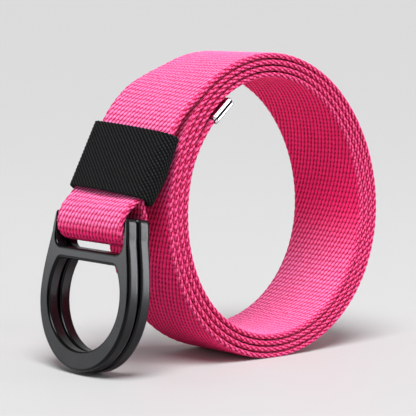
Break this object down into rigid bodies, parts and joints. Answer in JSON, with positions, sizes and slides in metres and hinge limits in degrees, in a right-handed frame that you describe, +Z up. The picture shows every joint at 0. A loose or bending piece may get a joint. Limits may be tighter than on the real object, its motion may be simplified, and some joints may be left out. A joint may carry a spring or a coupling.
{
  "type": "coiled webbing belt with d-ring buckle",
  "caption": "Woven canvas webbing belt, coiled and standing on edge, with a keeper sleeve, a D-ring buckle and a metal strap tip.",
  "frame": {"origin": "centre of the bounding box in X and Y, on the floor plane that the coil and the back ring stand on", "axes": "+Z up, Y across the strap along the coil's axis, the rings on the -X side"},
  "size_m": [0.1318, 0.0524, 0.1138],
  "materials": {
    "webbing": "woven, matt",
    "elastic": "knitted elastic, matt",
    "ring_metal": "satin black",
    "tip_metal": "polished"
  },
  "bodies": {
    "belt": {"strap": "webbing", "keeper": "elastic", "strap_tip": "tip_metal"},
    "front_ring": {"ring_front": "ring_metal"},
    "back_ring": {"ring_back": "ring_metal"}
  },
  "joints": [
    {"name": "ring_front_swing", "type": "hinge", "parent": "belt", "child": "front_ring", "pos_m": [-0.05549, 0, 0.05541], "axis": [0, 1, 0], "range_deg": [0, 110]},
    {"name": "ring_back_swing", "type": "hinge", "parent": "belt", "child": "back_ring", "pos_m": [-0.05172, 0, 0.05491], "axis": [0, 1, 0], "range_deg": [-30, 0]}
  ]
}
